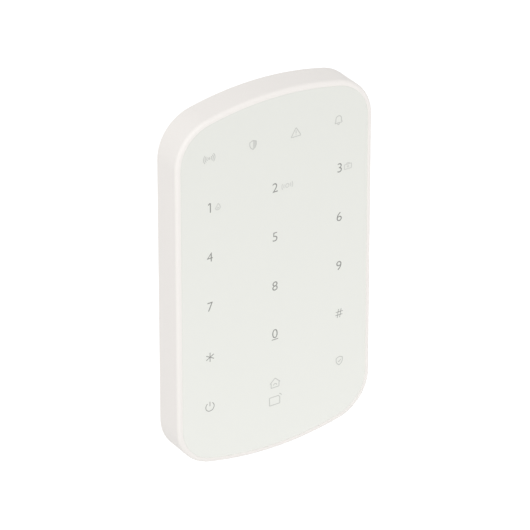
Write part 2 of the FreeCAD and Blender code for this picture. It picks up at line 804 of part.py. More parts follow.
def power_switch_knob():
    """Slider through the flange, with a plate behind it and ridges for a fingernail."""
    foot_y = board_back_y + power_body_t
    top_y = case_back_y + knob_proud
    plate_y = flange_front_y - slip_gap
    reach_h = 0.5 * knob_h
    stem = block(power_x - 0.5 * knob_w, power_x + 0.5 * knob_w, foot_y, top_y,
                 power_z - reach_h, power_z + reach_h)
    plate = block(power_x - 0.5 * knob_plate_w, power_x + 0.5 * knob_plate_w, plate_y - knob_plate_t, plate_y,
                  power_z - 0.5 * knob_plate_h, power_z + 0.5 * knob_plate_h)
    body = fuse_all([stem, plate])
    pitch = knob_w / (knob_ridges + 1)
    for x in spaced(knob_ridges, pitch):
        body = body.cut(block(power_x + x - 0.5 * knob_ridge, power_x + x + 0.5 * knob_ridge,
                              top_y - knob_ridge, top_y, power_z - reach_h, power_z + reach_h))
    return body


def gull_leads(x, z, half, count):
    """Leads down two sides of a chip."""
    leads = []
    for dz in spaced(count, lead_pitch):
        for side in (-1, 1):
            x_from = min(x + side * half, x + side * (half + lead_out))
            leads.append(block(x_from, x_from + lead_out, board_back_y, board_back_y + lead_t,
                               z + dz - 0.5 * lead_w, z + dz + 0.5 * lead_w))
    return leads


def microcontroller():
    half = 0.5 * mcu_w
    body = block(mcu_x - half, mcu_x + half, board_back_y, board_back_y + mcu_t,
                 radio_z - half, radio_z + half)
    return fuse_all([body] + gull_leads(mcu_x, radio_z, half, lead_count))


def touch_controllers():
    chips = []
    half = 0.5 * touch_chip_w
    for side in (-1, 1):
        x = side * (half_w - touch_chip_edge_x)
        chips.append(block(x - half, x + half, board_back_y, board_back_y + touch_chip_t,
                           touch_chip_z - half, touch_chip_z + half))
    return Part.makeCompound(chips)


def radio_module():
    wide = 0.5 * radio_w
    tall = 0.5 * radio_h
    plate_y = board_back_y + radio_pcb_t
    plate = block(-wide, wide, board_back_y, plate_y, radio_z - tall, radio_z + tall)
    can = block(radio_pcb_edge - wide, wide - radio_pcb_edge, plate_y, board_back_y + radio_t,
                radio_z - tall + radio_pcb_edge, radio_z + tall - radio_pcb_edge)
    return fuse_all([plate, can])


def radio_antenna():
    """Bent wire that follows the top of the case above the board, with a leg at each end."""
    back_y = board_back_y + aerial_lift
    arch = slab(aerial_inset, back_y - aerial_wire, back_y)
    arch = arch.cut(slab(aerial_inset + aerial_wire, back_y - aerial_wire, back_y))
    arch = arch.common(block(-aerial_half_w, aerial_half_w, board_back_y, back_y, 0, far))
    bow = end_bow_r - aerial_inset
    leg_x = aerial_half_w - aerial_wire
    leg_z = half_h - aerial_inset - bow + math.sqrt(bow ** 2 - aerial_half_w ** 2)
    legs = []
    for x in (-aerial_half_w, leg_x):
        legs.append(block(x, x + aerial_wire, board_back_y, back_y, leg_z - 1.5 * aerial_wire, leg_z))
    return fuse_all([arch] + legs)


def card_reader_coil():
    """Flat loop of several turns on the back of the board."""
    tracks = []
    back_y = board_back_y + loop_t
    for i in range(loop_turns):
        inset = i * loop_pitch
        wide = loop_half_w - inset
        tall = loop_half_h - inset
        ring = block(-wide, wide, board_back_y, back_y, loop_z - tall, loop_z + tall)
        inner_w = wide - loop_track_w
        inner_h = tall - loop_track_w
        tracks.append(ring.cut(block(-inner_w, inner_w, board_back_y, back_y,
                                     loop_z - inner_h, loop_z + inner_h)))
    low_z = loop_z + loop_half_h - (loop_turns - 1) * loop_pitch - loop_track_w
    tracks.append(block(-0.5 * loop_lead_w, 0.5 * loop_lead_w, board_back_y, back_y,
                        low_z, loop_z + loop_half_h))
    return fuse_all(tracks)


def buzzer():
    half = 0.5 * buzzer_w
    return block(buzzer_x - half, buzzer_x + half, board_back_y, board_back_y + buzzer_t,
                 buzzer_z - half, buzzer_z + half)


def chip_parts():
    """Small chips in a row near each end of the board and in a column near each side."""
    spots = [(x, half_h - chip_row_top) for x in spaced(chip_row_count, chip_row_pitch)]
    spots += [(x, chip_row_low - half_h) for x in spaced(chip_row_count, chip_row_pitch)]
    for side in (-1, 1):
        spots += [(side * (half_w - chip_side_x), z) for z in spaced(chip_side_count, chip_side_pitch)]
    chips = []
    for x, z in spots:
        chips.append(block(x - 0.5 * chip_w, x + 0.5 * chip_w, board_back_y, board_back_y + chip_t,
                           z - 0.5 * chip_h, z + 0.5 * chip_h))
    return Part.makeCompound(chips)


def battery_header():
    return block(-0.5 * header_w, 0.5 * header_w, board_back_y, board_back_y + header_t,
                 header_z - 0.5 * header_h, header_z + 0.5 * header_h)


pieces = (
    front_housing, glass_panel, panel_tape, diffuser_film, light_mask, key_leds, status_leds,
    main_board, rear_chassis, chassis_screws, battery_cells, battery_springs, battery_plates,
    wall_bracket, lock_screw, lock_washer, lock_insert, tamper_switch, tamper_plunger,
    tamper_spring, power_switch_body, power_switch_knob, microcontroller, touch_controllers,
    radio_module, radio_antenna, card_reader_coil, buzzer, chip_parts, battery_header,
)

os.makedirs("parts", exist_ok=True)
for piece in pieces:
    shape = piece()
    shape.exportStep("parts/" + piece.__name__ + ".step")
    box = shape.BoundBox
    print(piece.__name__, len(shape.Solids), shape.isValid(), round(shape.Volume, 1),
          "x", round(box.XMin, 2), round(box.XMax, 2), "y", round(box.YMin, 2), round(box.YMax, 2),
          "z", round(box.ZMin, 2), round(box.ZMax, 2))
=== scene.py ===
import math

import bmesh
import bpy
from mathutils import Matrix, Vector


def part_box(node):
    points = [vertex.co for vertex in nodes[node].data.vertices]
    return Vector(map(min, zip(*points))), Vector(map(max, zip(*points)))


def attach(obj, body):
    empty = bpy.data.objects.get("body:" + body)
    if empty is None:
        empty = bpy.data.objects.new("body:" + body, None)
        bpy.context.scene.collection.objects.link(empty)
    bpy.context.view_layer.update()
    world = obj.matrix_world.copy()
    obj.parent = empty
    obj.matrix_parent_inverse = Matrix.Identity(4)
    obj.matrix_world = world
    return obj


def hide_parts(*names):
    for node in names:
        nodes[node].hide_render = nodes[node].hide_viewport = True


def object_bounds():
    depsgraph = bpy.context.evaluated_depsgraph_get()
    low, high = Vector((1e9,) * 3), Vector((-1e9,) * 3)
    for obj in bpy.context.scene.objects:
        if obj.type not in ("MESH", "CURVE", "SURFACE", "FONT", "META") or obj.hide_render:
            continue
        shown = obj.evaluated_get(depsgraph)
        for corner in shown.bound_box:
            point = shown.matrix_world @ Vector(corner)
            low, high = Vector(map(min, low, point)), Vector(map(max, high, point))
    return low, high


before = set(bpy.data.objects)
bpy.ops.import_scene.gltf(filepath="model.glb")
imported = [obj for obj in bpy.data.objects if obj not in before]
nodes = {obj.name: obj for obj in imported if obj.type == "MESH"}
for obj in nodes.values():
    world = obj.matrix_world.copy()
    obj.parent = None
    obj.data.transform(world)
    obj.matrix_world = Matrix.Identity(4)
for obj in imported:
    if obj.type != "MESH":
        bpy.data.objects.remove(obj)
cadLow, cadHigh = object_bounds()
mm = 0.001
print("frame loaded:", len(nodes), "nodes")


class Wired:
    # one shader socket; sums and products with it add Math nodes
    def __init__(self, tree, socket):
        self.tree = tree
        self.socket = socket

    def node(self, kind, inputs=None, output=0, **settings):
        made = self.tree.nodes.new(kind)
        for name, value in settings.items():
            setattr(made, name, value)
        for name, value in (inputs or {}).items():
            if isinstance(value, Wired):
                self.tree.links.new(value.socket, made.inputs[name])
            else:
                made.inputs[name].default_value = value
        return Wired(self.tree, made.outputs[output])

    def maths(self, operation, first, second):
        return self.node("ShaderNodeMath", {0: first, 1: second}, operation=operation)

    def __add__(self, other):
        return self.maths("ADD", self, other)

    def __radd__(self, other):
        return self.maths("ADD", other, self)

    def __mul__(self, other):
        return self.maths("MULTIPLY", self, other)

    def __rmul__(self, other):
        return self.maths("MULTIPLY", other, self)

    def output(self, label):
        # another output of the same node
        return Wired(self.tree, self.socket.node.outputs[label])

    def noise(self, size, detail=2.0):
        return self.node("ShaderNodeTexNoise", {"Vector": self, "Scale": 1 / size, "Detail": detail})

    def blendColours(self, factor, dark, light):
        return self.node("ShaderNodeMix", {0: factor, 6: dark, 7: light}, output=2, data_type="RGBA")

    def bump(self, height, strength, depth):
        return self.node("ShaderNodeBump", {"Height": height, "Strength": strength, "Distance": depth})


def srgb(red, green, blue):
    def linear(value):
        value /= 255
        return value / 12.92 if value <= 0.04045 else ((value + 0.055) / 1.055) ** 2.4
    return (linear(red), linear(green), linear(blue), 1.0)


def shaded(colour, factor):
    return tuple(channel * factor for channel in colour[:3]) + (1.0,)


def newMaterial(name, paint, **fixed):
    # paint(place) gives the sockets that vary over the surface; fixed ones are set directly
    material = bpy.data.materials.new(name)
    material.use_nodes = True
    tree = material.node_tree
    shader = tree.nodes["Principled BSDF"]
    for socket, value in fixed.items():
        shader.inputs[socket.replace("_", " ")].default_value = value
    place = Wired(tree, tree.nodes.new("ShaderNodeTexCoord").outputs["Object"])
    for socket, wired in paint(place).items():
        tree.links.new(wired.socket, shader.inputs[socket])
    return material


grains = {
    "toneDrift": 40 * mm,   # slow change of tone over moulded plastic
    "scratches": 0.3 * mm,
    "dullSpots": 2.5 * mm,
    "panelHaze": 60 * mm,
    "panelSmear": 9 * mm,
    "foam": 0.4 * mm,
    "lacquer": 1.5 * mm,
    "phosphor": 0.2 * mm,
    "scuffs": 6 * mm,
    "ink": 0.3 * mm,
}


def plastic(name, colour, rough=0.5, grain=0.5 * mm, relief=0.012 * mm, tone=0.97, **fixed):
    # moulded plastic: fine spark-eroded grain, slow drift in tone and gloss
    def paint(place):
        drift = place.noise(grains["toneDrift"], 3.0)
        fine = place.noise(grain, 3.0)
        return {
            "Base Color": place.blendColours(drift, shaded(colour, tone), colour),
            "Roughness": rough - 0.05 + 0.1 * fine,
            "Normal": place.bump(fine, 0.5, relief),
        }
    return newMaterial(name, paint, **fixed)


def metal(name, colour, rough=0.3, brushed=(1.0, 1.0, 1.0), **fixed):
    # plated or bare metal: fine scratches along one direction, small spots of dull plating
    def paint(place):
        turned = place.node("ShaderNodeMapping", {"Vector": place, "Scale": brushed})
        scratches = turned.noise(grains["scratches"], 4.0)
        spots = place.noise(grains["dullSpots"])
        return {
            "Base Color": place.blendColours(spots, shaded(colour, 0.82), colour),
            "Roughness": rough - 0.08 + 0.16 * scratches,
            "Normal": place.bump(scratches, 0.3, 0.01 * mm),
        }
    return newMaterial(name, paint, Metallic=1.0, **fixed)


finishes = {
    "casePlastic": plastic("casePlastic", srgb(248, 244, 240), rough=0.52, tone=0.985),
    "bracketPlastic": plastic("bracketPlastic", srgb(240, 238, 233), rough=0.55, grain=0.7 * mm),
    "maskPlastic": plastic("maskPlastic", srgb(236, 236, 232), rough=0.6),
    "blackPlastic": plastic("blackPlastic", srgb(34, 34, 36), rough=0.5, tone=0.8),
    "chipPlastic": plastic("chipPlastic", srgb(30, 30, 32), rough=0.45, grain=0.2 * mm, tone=0.8),
    "greyPlastic": plastic("greyPlastic", srgb(150, 151, 153), rough=0.5),
    "sealBead": plastic("sealBead", srgb(250, 250, 247), rough=0.4, grain=0.2 * mm, tone=0.98),
    "filmPlastic": plastic("filmPlastic", srgb(238, 238, 234), rough=0.35, grain=0.3 * mm),
    "steel": metal("steel", srgb(190, 190, 192), rough=0.3),
    "nickel": metal("nickel", srgb(198, 194, 186), rough=0.25),
    "brass": metal("brass", srgb(200, 164, 92), rough=0.3),
    "springSteel": metal("springSteel", srgb(176, 176, 180), rough=0.28),
    "shieldCan": metal("shieldCan", srgb(186, 186, 184), rough=0.35, brushed=(1.0, 1.0, 0.1)),
    "copperTrack": metal("copperTrack", srgb(196, 142, 84), rough=0.35),
}


def panelPaint(place):
    # printed back face seen through the clear front, with painted shade over it: the colour turns slightly
    # greener and darker towards the top, where less light falls
    # painted shade: the height over the frame, from 0 at its bottom to 1 at its top, darkens the base colour
    height = place.node("ShaderNodeSeparateXYZ", {"Vector": place}, output=2)
    paintedShadeRise = place.node("ShaderNodeMapRange", {"Value": height, "From Min": cadLow.z, "From Max": cadHigh.z})
    haze = place.noise(grains["panelHaze"])
    smear = place.noise(grains["panelSmear"], 4.0)
    return {
        # painted shade (darker with height) plus a little random haze
        "Base Color": place.blendColours(paintedShadeRise + 0.08 * haze, srgb(242, 243, 237), srgb(234, 235, 229)),
        "Roughness": 0.2 + 0.06 * smear,
    }


finishes["frontPanel"] = newMaterial("frontPanel", panelPaint, IOR=1.5, Coat_Weight=0.3, Coat_Roughness=0.08)


def tapePaint(place):
    foam = place.noise(grains["foam"], 5.0)
    return {
        "Base Color": place.blendColours(foam, srgb(214, 214, 210), srgb(232, 232, 228)),
        "Roughness": 0.8 + 0.1 * foam,
        "Normal": place.bump(foam, 0.6, 0.03 * mm),
    }


tracks = {
    "patch": 11 * mm,      # groups of tracks that run the same way
    "pitch": 0.9 * mm,
    "space": 0.55,         # share of the pitch between two tracks
    "emptyPatches": 0.45,  # share of the patches that have no tracks
    "upright": 0.5,        # share of the patches whose tracks stand upright
}


def boardPaint(place):
    # solder mask over groups of straight tracks, upright in some patches and lying in others
    patches = place.node("ShaderNodeTexVoronoi", {"Vector": place, "Scale": 1 / tracks["patch"]}, output=1,
                         distance="CHEBYCHEV")
    pick = place.node("ShaderNodeSeparateColor", {"Color": patches})
    apart = place.node("ShaderNodeSeparateXYZ", {"Vector": place})
    lying = place.maths("GREATER_THAN", pick, tracks["upright"])
    run = place.node("ShaderNodeMix", {0: lying, 2: apart, 3: apart.output("Z")})
    filled = place.maths("GREATER_THAN", pick.output("Green"), tracks["emptyPatches"])
    step = place.maths("FRACT", run * (1 / tracks["pitch"]), 0.0)
    track = place.maths("GREATER_THAN", step, tracks["space"]) * filled
    return {
        "Base Color": place.blendColours(track, srgb(36, 88, 62), srgb(46, 104, 73)),
        "Roughness": 0.38 + 0.08 * place.noise(grains["lacquer"]),
        "Normal": place.bump(track, 0.3, 0.02 * mm),
    }


def lampPaint(place):
    # yellow phosphor under clear resin
    grain = place.noise(grains["phosphor"])
    return {
        "Base Color": place.blendColours(grain, srgb(232, 222, 150), srgb(246, 240, 186)),
        "Roughness": 0.3 + 0.1 * grain,
    }


sleeveEnd = 20.4 * mm   # the cells' sleeves end this far from their middles


def cellPaint(place):
    # plain dark sleeve that leaves the steel ends bare
    along = place.node("ShaderNodeSeparateXYZ", {"Vector": place}, output=2)
    bare = place.maths("GREATER_THAN", place.maths("ABSOLUTE", along, 0.0), sleeveEnd)
    scuffs = place.noise(grains["scuffs"])
    sleeve = place.blendColours(scuffs, srgb(64, 68, 74), srgb(84, 88, 96))
    return {
        "Base Color": place.blendColours(bare, sleeve, srgb(196, 196, 198)),
        "Metallic": bare,
        "Roughness": 0.28 + 0.08 * scuffs,
    }


finishes["foamTape"] = newMaterial("foamTape", tapePaint)
finishes["boardLacquer"] = newMaterial("boardLacquer", boardPaint)
finishes["lampWindow"] = newMaterial("lampWindow", lampPaint)
finishes["cellSleeve"] = newMaterial("cellSleeve", cellPaint)


def ink(name, colour):
    def paint(place):
        grain = place.noise(grains["ink"], 3.0)
        return {
            "Base Color": place.blendColours(grain, shaded(colour, 0.9), colour),
            "Roughness": 0.34 + 0.08 * grain,
        }
    return newMaterial(name, paint)


finishes["digitInk"] = ink("digitInk", srgb(146, 147, 143))
finishes["signInk"] = ink("signInk", srgb(203, 204, 199))
finishes["faintInk"] = ink("faintInk", srgb(212, 213, 208))

nodeFinish = {
    "front_housing": "casePlastic",
    "glass_panel": "frontPanel",
    "panel_tape": "foamTape",
    "diffuser_film": "filmPlastic",
    "light_mask": "maskPlastic",
    "key_leds": "lampWindow",
    "status_leds": "lampWindow",
    "main_board": "boardLacquer",
    "rear_chassis": "casePlastic",
    "chassis_screws": "steel",
    "battery_cells": "cellSleeve",
    "battery_springs": "springSteel",
    "battery_plates": "nickel",
    "wall_bracket": "bracketPlastic",
    "lock_screw": "steel",
    "lock_washer": "steel",
    "lock_insert": "brass",
    "tamper_switch": "blackPlastic",
    "tamper_plunger": "greyPlastic",
    "tamper_spring": "springSteel",
    "power_switch_body": "nickel",
    "power_switch_knob": "blackPlastic",
    "microcontroller": "chipPlastic",
    "touch_controllers": "chipPlastic",
    "radio_module": "shieldCan",
    "radio_antenna": "springSteel",
    "card_reader_coil": "copperTrack",
    "buzzer": "blackPlastic",
    "chip_parts": "chipPlastic",
    "battery_header": "maskPlastic",
}
for name, finish in nodeFinish.items():
    mesh = nodes[name].data
    mesh.materials.clear()
    mesh.materials.append(finishes[finish])
print("finishes:", len(finishes))


def stand(mesh, name, finish, body, place=None):
    # a finished piece: origin at the frame's origin, place in its mesh
    if place is not None:
        mesh.transform(place)
    mesh.materials.clear()
    mesh.materials.append(finishes[finish])
    piece = bpy.data.objects.new(name, mesh)
    bpy.context.scene.collection.objects.link(piece)
    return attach(piece, body)


def plainMesh(source):
    # evaluates modifiers and text into a mesh of its own, then drops the source
    bpy.context.view_layer.update()
    graph = bpy.context.evaluated_depsgraph_get()
    mesh = bpy.data.meshes.new_from_object(source.evaluated_get(graph))
    bpy.data.objects.remove(source)
    return mesh


def joined(meshes):
    shell = bmesh.new()
    for mesh in meshes:
        shell.from_mesh(mesh)
        bpy.data.meshes.remove(mesh)
    whole = bpy.data.meshes.new("joined")
    shell.to_mesh(whole)
    shell.free()
    return whole


class GeoTree:
    # a Geometry Nodes tree with named inputs
    def __init__(self, name, **sizes):
        self.tree = bpy.data.node_groups.new(name, "GeometryNodeTree")
        self.tree.interface.new_socket("Geometry", in_out="INPUT", socket_type="NodeSocketGeometry")
        self.keys = {}
        for label, value in sizes.items():
            kind = "NodeSocketInt" if isinstance(value, int) else "NodeSocketFloat"
            socket = self.tree.interface.new_socket(label, in_out="INPUT", socket_type=kind)
            socket.default_value = value
            self.keys[label] = socket.identifier
        self.tree.interface.new_socket("Geometry", in_out="OUTPUT", socket_type="NodeSocketGeometry")
        self.source = self.tree.nodes.new("NodeGroupInput")

    def size(self, label):
        return self.source.outputs[label]

    def add(self, kind, inputs=None, output=0, **settings):
        made = self.tree.nodes.new(kind)
        for name, value in settings.items():
            setattr(made, name, value)
        for name, value in (inputs or {}).items():
            if isinstance(value, bpy.types.NodeSocket):
                self.tree.links.new(value, made.inputs[name])
            else:
                made.inputs[name].default_value = value
        return made.outputs[output]

    def close(self, geometry, finish):
        flat = self.add("GeometryNodeSetShadeSmooth", {"Geometry": geometry, "Shade Smooth": False})
        real = self.add("GeometryNodeRealizeInstances", {0: flat})
        done = self.add("GeometryNodeSetMaterial", {"Geometry": real, "Material": finishes[finish]})
        sink = self.tree.nodes.new("NodeGroupOutput")
        self.tree.links.new(done, sink.inputs[0])

    def grow(self, source, **sizes):
        modifier = source.modifiers.new("grow", "NODES")
        modifier.node_group = self.tree
        for label, value in sizes.items():
            modifier[self.keys[label]] = value
        return plainMesh(source)


def solidBoxes(node):
    # lowest and highest corner of every separate solid of a node
    shape = bmesh.new()
    shape.from_mesh(nodes[node].data)
    bmesh.ops.remove_doubles(shape, verts=shape.verts, dist=0.001 * mm)
    boxes, seen = [], set()
    for start in shape.verts:
        if start in seen:
            continue
        group, queue = [], [start]
        seen.add(start)
        while queue:
            vert = queue.pop()
            group.append(vert.co.copy())
            for edge in vert.link_edges:
                other = edge.other_vert(vert)
                if other not in seen:
                    seen.add(other)
                    queue.append(other)
        boxes.append(tuple(Vector([pick(co[axis] for co in group) for axis in range(3)])
                           for pick in (min, max)))
    shape.free()
    return boxes


def pointsObject(name, points):
    mesh = bpy.data.meshes.new(name)
    mesh.from_pydata([tuple(point) for point in points], [], [])
    holder = bpy.data.objects.new(name, mesh)
    bpy.context.scene.collection.objects.link(holder)
    return holder


def capTree(sizes):
    # a pair of plated end caps round each point of the source
    tree = GeoTree("endCaps", **sizes)
    size = tree.add("ShaderNodeCombineXYZ",
                    {0: tree.size("Wide"), 1: tree.size("Deep"), 2: tree.size("Tall")})
    cap = tree.add("GeometryNodeMeshCube", {"Size": size})
    span = tree.add("ShaderNodeCombineXYZ", {0: tree.size("Apart")})
    half = tree.add("ShaderNodeVectorMath", {0: span, "Scale": 0.5}, operation="SCALE")
    back = tree.add("ShaderNodeVectorMath", {0: span, "Scale": -0.5}, operation="SCALE")
    right = tree.add("GeometryNodeTransform", {"Geometry": cap, "Translation": half})
    left = tree.add("GeometryNodeTransform", {"Geometry": cap, "Translation": back})
    pair = tree.add("GeometryNodeJoinGeometry")
    for side in (right, left):
        tree.tree.links.new(side, pair.node.inputs[0])
    spread = tree.add("GeometryNodeInstanceOnPoints", {"Points": tree.size("Geometry"), "Instance": pair})
    tree.close(spread, "nickel")
    return tree


chipCap = {"wide": 0.36 * mm, "over": 0.04 * mm}   # over: how far a cap stands out of its chip
chips = solidBoxes("chip_parts")   # all of one size
chipSize = chips[0][1] - chips[0][0]
capSizes = {
    "Wide": chipCap["wide"],
    "Deep": chipSize.y + chipCap["over"],
    "Tall": chipSize.z + 2 * chipCap["over"],
    "Apart": chipSize.x - chipCap["wide"] + 2 * chipCap["over"],
}
chipMiddles = pointsObject("chipMiddles", [0.5 * (low + high) for low, high in chips])
stand(capTree(capSizes).grow(chipMiddles, **capSizes), "chipEndCaps", "nickel", "keypad")


def ringTree(sizes):
    # flat ring round each point of the source, facing +Z
    tree = GeoTree("padRings", **sizes)
    circleLine = tree.add("GeometryNodeCurvePrimitiveCircle",
                          {"Resolution": 40, "Radius": tree.size("Radius")}, mode="RADIUS")
    level = tree.add("GeometryNodeSetCurveNormal", {"Curve": circleLine}, mode="Z_UP")
    strip = tree.add("GeometryNodeCurvePrimitiveQuadrilateral",
                     {"Width": tree.size("Band"), "Height": tree.size("Thick")})
    band = tree.add("GeometryNodeCurveToMesh", {"Curve": level, "Profile Curve": strip})
    spread = tree.add("GeometryNodeInstanceOnPoints", {"Points": tree.size("Geometry"), "Instance": band})
    tree.close(spread, "copperTrack")
    return tree


padSizes = {"Radius": 2.6 * mm, "Band": 0.7 * mm, "Thick": 0.03 * mm}
standUp = Matrix.Rotation(math.radians(90), 4, "X")   # turns the face of what is drawn flat to the front
padSpots = [0.5 * (low + high) for low, high in solidBoxes("key_leds")]
padMiddles = pointsObject("padMiddles", [(spot.x, spot.z, 0) for spot in padSpots])
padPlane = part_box("main_board")[0].y - 0.5 * padSizes["Thick"]
stand(ringTree(padSizes).grow(padMiddles, **padSizes), "touchPads", "copperTrack", "keypad",
      Matrix.Translation((0, padPlane, 0)) @ standUp)
print("board details done")


# outlines of a screw head's rings: each gives its radius in the direction that it's asked for
def circle(radius):
    return lambda turn: radius


def hexagon(flats):
    return lambda turn: 0.5 * flats / math.cos(turn % math.radians(60) - math.radians(30))


def crossSlot(arm, half):
    # two crossed bars, each 2 * arm long and 2 * half wide
    tiny = 1e-6

    def radius(turn):
        side = max(abs(math.cos(turn)), tiny)
        up = max(abs(math.sin(turn)), tiny)
        return max(min(arm / side, half / up), min(half / side, arm / up))
    return radius


def loftedHead(rings, around=48):
    # closed shell through rings of any outline, from the recess's floor over the face to the underside
    shape = bmesh.new()
    turns = [2 * math.pi * step / around for step in range(around)]
    loops = [[shape.verts.new((outline(turn) * math.cos(turn), outline(turn) * math.sin(turn), level))
              for turn in turns] for level, outline in rings]
    for lower, upper in zip(loops, loops[1:]):
        for step in range(around):
            after = (step + 1) % around
            shape.faces.new((lower[step], lower[after], upper[after], upper[step]))
    for loop in (loops[0], loops[-1]):
        shape.faces.new(loop)
    bmesh.ops.recalc_face_normals(shape, faces=shape.faces)
    mesh = bpy.data.meshes.new("head")
    shape.to_mesh(mesh)
    shape.free()
    return mesh


def threadTree(sizes):
    # shaft with a helical ridge, standing on +Z at each point of the source
    tree = GeoTree("threadedShaft", **sizes)
    bar = tree.add("GeometryNodeMeshCylinder",
                   {"Vertices": tree.size("Around"), "Side Segments": tree.size("Rows"),
                    "Radius": tree.size("Radius"), "Depth": tree.size("Length")})
    spot = tree.add("GeometryNodeInputPosition")
    across = tree.add("ShaderNodeSeparateXYZ", {0: spot}, output=0)
    level = across.node.outputs[2]

    def maths(operation, first, second=0.0):
        return tree.add("ShaderNodeMath", {0: first, 1: second}, operation=operation)

    turns = maths("DIVIDE", maths("ARCTAN2", across.node.outputs[1], across), 2 * math.pi)
    phase = maths("FRACT", maths("SUBTRACT", maths("DIVIDE", level, tree.size("Pitch")), turns))
    valley = maths("ABSOLUTE", maths("SUBTRACT", maths("MULTIPLY", phase, 2.0), 1.0))
    depth = maths("DIVIDE", maths("MULTIPLY", valley, tree.size("Ridge")), tree.size("Radius"))
    squeeze = maths("SUBTRACT", 1.0, depth)
    scale = tree.add("ShaderNodeCombineXYZ", {0: squeeze, 1: squeeze, 2: 1.0})
    moved = tree.add("ShaderNodeVectorMath", {0: spot, 1: scale}, operation="MULTIPLY")
    cut = tree.add("GeometryNodeSetPosition", {"Geometry": bar, "Position": moved})
    raised = tree.add("ShaderNodeCombineXYZ", {2: maths("MULTIPLY", tree.size("Length"), 0.5)})
    lifted = tree.add("GeometryNodeTransform", {"Geometry": cut, "Translation": raised})
    standing = tree.add("GeometryNodeInstanceOnPoints", {"Points": tree.size("Geometry"), "Instance": lifted})
    tree.close(standing, "steel")
    return tree


def screws(name, node, body, spots, rings, shaft, place):
    # heads lofted through their rings and threaded shafts, both on +Z from the head's face
    seat = rings[-1][0]
    parts = [threadTree(shaft).grow(pointsObject("seats", [(x, y, seat) for x, y in spots]), **shaft)]
    for x, y in spots:
        head = loftedHead(rings)
        head.transform(Matrix.Translation((x, y, 0)))
        parts.append(head)
    piece = stand(joined(parts), name, "steel", body, place)
    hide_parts(node)
    return piece


lockLow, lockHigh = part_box("lock_screw")
lockHead = {
    "radius": 2.75 * mm,
    "tall": 1.9 * mm,
    "bevel": 0.5 * mm,
    "socket": 2.0 * mm,   # across the flats
    "mouth": 2.3 * mm,    # where the lead-in starts
    "tip": 1.2 * mm,      # flat floor left by the drill
    "leadIn": 0.15 * mm,
    "deep": 1.1 * mm,
    "neck": 1.2 * mm,     # underside, hidden in the shaft
}
lockShaft = {
    "Radius": 1.45 * mm,
    "Length": lockHigh.z - lockLow.z - lockHead["tall"],
    "Pitch": 0.5 * mm,
    "Ridge": 0.25 * mm,
    "Around": 24,
    "Rows": 128,
}
lockRings = [
    (lockHead["deep"], hexagon(lockHead["tip"])),
    (lockHead["deep"], hexagon(lockHead["socket"])),
    (lockHead["leadIn"], hexagon(lockHead["socket"])),
    (0, hexagon(lockHead["mouth"])),
    (0, circle(lockHead["radius"] - lockHead["bevel"])),
    (lockHead["bevel"], circle(lockHead["radius"])),
    (lockHead["tall"], circle(lockHead["radius"])),
    (lockHead["tall"], circle(lockHead["neck"])),
]
screws("lockScrewTurned", "lock_screw", "lock_screw", [(0, 0)], lockRings, lockShaft,
       Matrix.Translation((0, 0.5 * (lockLow.y + lockHigh.y), lockLow.z)))

fixLow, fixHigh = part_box("chassis_screws")
fixHead = {
    "radius": 2.4 * mm,
    "tall": 1.6 * mm,
    # depth and radius down the domed top
    "dome": [(0, 1.5 * mm), (0.2 * mm, 2.05 * mm), (0.55 * mm, 2.3 * mm), (0.95 * mm, 2.4 * mm)],
    "slotMouth": {"arm": 1.2 * mm, "half": 0.32 * mm},
    "slotFloor": {"arm": 0.6 * mm, "half": 0.22 * mm},
    "slotFrom": 0.1 * mm,   # depths of the slot's mouth and floor
    "slotDeep": 1.0 * mm,
    "neck": 0.8 * mm,
}
fixShaft = {
    "Radius": 1.1 * mm,
    "Length": fixHigh.y - fixLow.y - fixHead["tall"],
    "Pitch": 0.8 * mm,
    "Ridge": 0.28 * mm,
    "Around": 24,
    "Rows": 72,
}
fixRings = [
    (fixHead["slotDeep"], crossSlot(**fixHead["slotFloor"])),
    (fixHead["slotFrom"], crossSlot(**fixHead["slotMouth"])),
    *[(depth, circle(radius)) for depth, radius in fixHead["dome"]],
    (fixHead["tall"], circle(fixHead["radius"])),
    (fixHead["tall"], circle(fixHead["neck"])),
]
fixX = fixHigh.x - fixHead["radius"]
fixZ = 0.5 * (fixLow.z + fixHigh.z)
screws("chassisScrewsTurned", "chassis_screws", "keypad", [(-fixX, 0), (fixX, 0)], fixRings, fixShaft,
       Matrix.Translation((0, fixHigh.y, fixZ)) @ standUp)
print("screws done")


def markTree(sizes):
    # low round marks of the mould's ejector pins on a grid, facing +Z
    tree = GeoTree("ejectorMarks", **sizes)
    grid = tree.add("GeometryNodeMeshGrid",
                    {"Size X": tree.size("Width"), "Size Y": tree.size("Height"),
                     "Vertices X": tree.size("Columns"), "Vertices Y": tree.size("Rows")})
    disc = tree.add("GeometryNodeMeshCylinder",
                    {"Vertices": 32, "Radius": tree.size("Radius"), "Depth": tree.size("Tall")})
    spread = tree.add("GeometryNodeInstanceOnPoints", {"Points": grid, "Instance": disc})
    tree.close(spread, "bracketPlastic")
    return tree


pocketFloor = -0.8 * mm   # the bracket's pockets are this deep in its wall side
markSizes = {
    "Radius": 1.6 * mm,
    "Tall": 0.16 * mm,    # half of it stands out of the pocket's floor
    "Width": 53.66 * mm,  # of the grid, between its outermost marks
    "Height": 77.5 * mm,
    "Columns": 3,
    "Rows": 4,
}
stand(markTree(markSizes).grow(pointsObject("markHolder", []), **markSizes), "ejectorMarks", "bracketPlastic",
      "bracket", Matrix.Translation((0, pocketFloor, 0)) @ standUp.inverted())
print("mould marks done")


# white bead that closes the seam between the panel and the rim
sealSizes = {
    "gap": 0.06 * mm,      # panel to the rim
    "bevel": 0.12 * mm,    # bevel on the panel's edge
    "slack": 0.005 * mm,   # bead to the walls that it lies between
    "under": 0.05 * mm,    # bead's face behind the panel's
    "deep": 0.5 * mm,
}


def outlineOf(node, level):
    # the node's corners at one depth, in order round the middle, as X and Z
    near = 0.01 * mm
    corners = {(round(v.co.x, 6), round(v.co.z, 6)) for v in nodes[node].data.vertices
               if abs(v.co.y - level) < near}
    return sorted(corners, key=lambda corner: math.atan2(corner[1], corner[0]))


